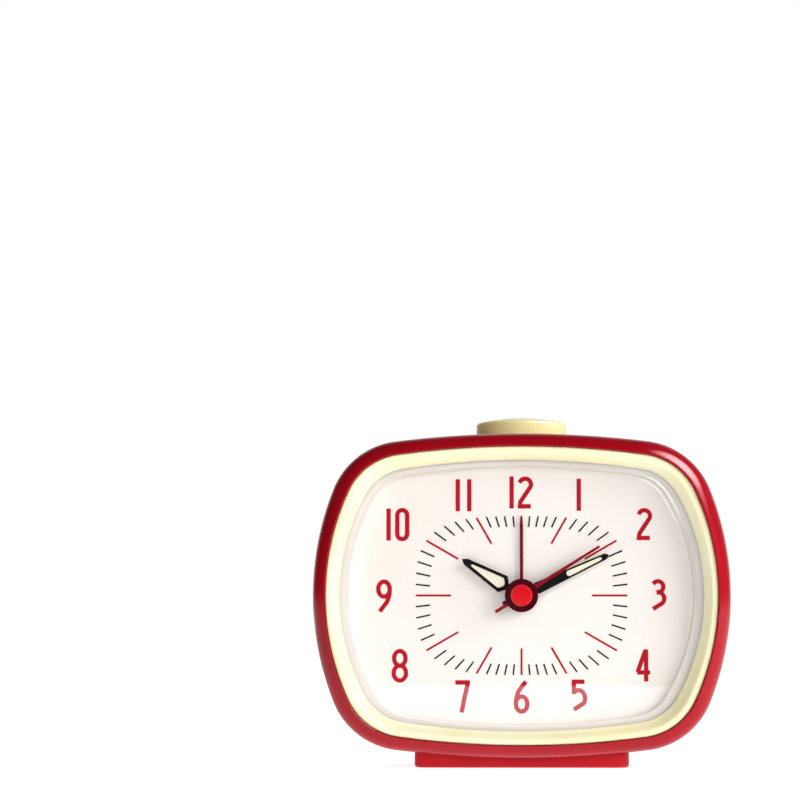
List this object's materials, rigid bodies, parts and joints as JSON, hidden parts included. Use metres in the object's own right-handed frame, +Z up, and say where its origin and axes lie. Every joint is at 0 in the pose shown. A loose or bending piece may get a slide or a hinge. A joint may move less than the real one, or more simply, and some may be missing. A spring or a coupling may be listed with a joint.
{
  "type": "alarm clock",
  "caption": "Desk alarm clock in a rounded, screen-shaped case on a low foot, with a bulging bezel and lens, printed dial, turning hands, a top snooze button, and rear knobs.",
  "frame": {"origin": "centre of the foot's bottom face, where the clock stands on the table", "axes": "+Z up, the dial faces -Y, +X to the right as seen from the front"},
  "size_m": [0.105, 0.0545, 0.0887],
  "materials": {
    "red_shell": "glossy moulded",
    "cream_trim": "glossy moulded",
    "clear_lens": "clear polished",
    "ivory_dial": "smooth satin",
    "red_print": "printed ink",
    "dark_print": "printed ink",
    "black_hand": "satin paint",
    "red_hand": "satin paint",
    "dark_red_hand": "satin paint",
    "lume": "pale luminous fill",
    "red_cap": "glossy moulded",
    "housing": "moulded",
    "wheel": "moulded",
    "magnet": "sintered",
    "iron_plate": "stamped",
    "copper_wire": "wound enamelled wire",
    "board": "coated laminate",
    "steel": "plated",
    "black_part": "moulded",
    "cell": "plain sleeve"
  },
  "bodies": {
    "case": {"front_case": "red_shell", "rear_cover": "red_shell", "foot": "red_shell", "foot_screws": "steel", "cover_screws": "steel", "bezel": "cream_trim", "lens": "clear_lens", "dial_spacer": "ivory_dial", "dial": "ivory_dial", "hour_numerals": "red_print", "hour_marks": "red_print", "minute_marks": "dark_print", "movement_front": "housing", "movement_back": "housing", "movement_screws": "steel", "stator": "iron_plate", "coil": "copper_wire", "coil_core": "iron_plate", "circuit_board": "board", "quartz_crystal": "steel", "snooze_spring": "steel", "snooze_board": "board", "snooze_switch": "black_part", "alarm_switch_body": "black_part", "buzzer": "black_part", "battery": "cell", "positive_contact": "steel", "negative_contact": "steel"},
    "seconds": {"second_wheel": "wheel", "second_hand": "red_hand", "hub_cap": "red_cap"},
    "minutes": {"cannon_pinion": "wheel", "minute_hand": "black_hand", "minute_lume": "lume"},
    "hours": {"hour_wheel": "wheel", "hour_hand": "black_hand", "hour_lume": "lume"},
    "alarm": {"alarm_wheel": "wheel", "alarm_hand": "dark_red_hand"},
    "minute_work": {"minute_wheel": "wheel"},
    "centre": {"centre_wheel": "wheel"},
    "third": {"third_wheel": "wheel"},
    "idler": {"idler_wheel": "wheel"},
    "step_rotor": {"rotor": "magnet"},
    "time_setting": {"time_arbor": "wheel", "time_knob": "cream_trim"},
    "alarm_setting": {"alarm_arbor": "wheel", "alarm_knob": "cream_trim"},
    "snooze": {"snooze_button": "cream_trim"},
    "alarm_slider": {"alarm_switch": "cream_trim"},
    "door": {"battery_door": "red_shell"}
  },
  "joints": [
    {"name": "seconds_spin", "type": "hinge", "parent": "case", "child": "seconds", "pos_m": [0, 0, 0.04325], "axis": [0, 1, 0], "continuous": true},
    {"name": "idler_spin", "type": "hinge", "parent": "case", "child": "idler", "pos_m": [0, 0, 0.03625], "axis": [0, 1, 0], "continuous": true},
    {"name": "rotor_spin", "type": "hinge", "parent": "case", "child": "step_rotor", "pos_m": [0, 0, 0.03145], "axis": [0, 1, 0], "continuous": true},
    {"name": "third_spin", "type": "hinge", "parent": "case", "child": "third", "pos_m": [0, 0, 0.05225], "axis": [0, 1, 0], "continuous": true},
    {"name": "centre_spin", "type": "hinge", "parent": "case", "child": "centre", "pos_m": [0, 0, 0.04325], "axis": [0, 1, 0], "continuous": true},
    {"name": "minutes_spin", "type": "hinge", "parent": "case", "child": "minutes", "pos_m": [0, 0, 0.04325], "axis": [0, 1, 0], "continuous": true},
    {"name": "minute_work_spin", "type": "hinge", "parent": "case", "child": "minute_work", "pos_m": [-0.0075, 0, 0.04325], "axis": [0, 1, 0], "continuous": true},
    {"name": "hours_spin", "type": "hinge", "parent": "case", "child": "hours", "pos_m": [0, 0, 0.04325], "axis": [0, 1, 0], "continuous": true},
    {"name": "time_setting_spin", "type": "hinge", "parent": "case", "child": "time_setting", "pos_m": [-0.015, 0, 0.04325], "axis": [0, 1, 0], "continuous": true},
    {"name": "alarm_setting_spin", "type": "hinge", "parent": "case", "child": "alarm_setting", "pos_m": [0.015, 0, 0.04325], "axis": [0, 1, 0], "continuous": true},
    {"name": "alarm_spin", "type": "hinge", "parent": "case", "child": "alarm", "pos_m": [0, 0, 0.04325], "axis": [0, 1, 0], "continuous": true},
    {"name": "snooze_press", "type": "slide", "parent": "case", "child": "snooze", "axis": [0, 0, -1], "range_m": [0, 0.0012], "stiffness_N_per_m": 400, "springref_m": -0.001, "deforming": ["snooze_spring"]},
    {"name": "alarm_slide", "type": "slide", "parent": "case", "child": "alarm_slider", "axis": [0, 0, 1], "range_m": [0, 0.004]},
    {"name": "door_pull", "type": "slide", "parent": "case", "child": "door", "axis": [0, 1, 0], "range_m": [0, 0.02]}
  ],
  "couplings": [
    {"joint": "idler_spin", "follows": "seconds_spin", "ratio": -6},
    {"joint": "rotor_spin", "follows": "seconds_spin", "ratio": 30},
    {"joint": "third_spin", "follows": "seconds_spin", "ratio": -0.125},
    {"joint": "centre_spin", "follows": "seconds_spin", "ratio": 0.016667},
    {"joint": "minute_work_spin", "follows": "minutes_spin", "ratio": -0.33333},
    {"joint": "hours_spin", "follows": "minutes_spin", "ratio": 0.083333},
    {"joint": "time_setting_spin", "follows": "minutes_spin", "ratio": 1},
    {"joint": "alarm_spin", "follows": "alarm_setting_spin", "ratio": -1.5}
  ]
}
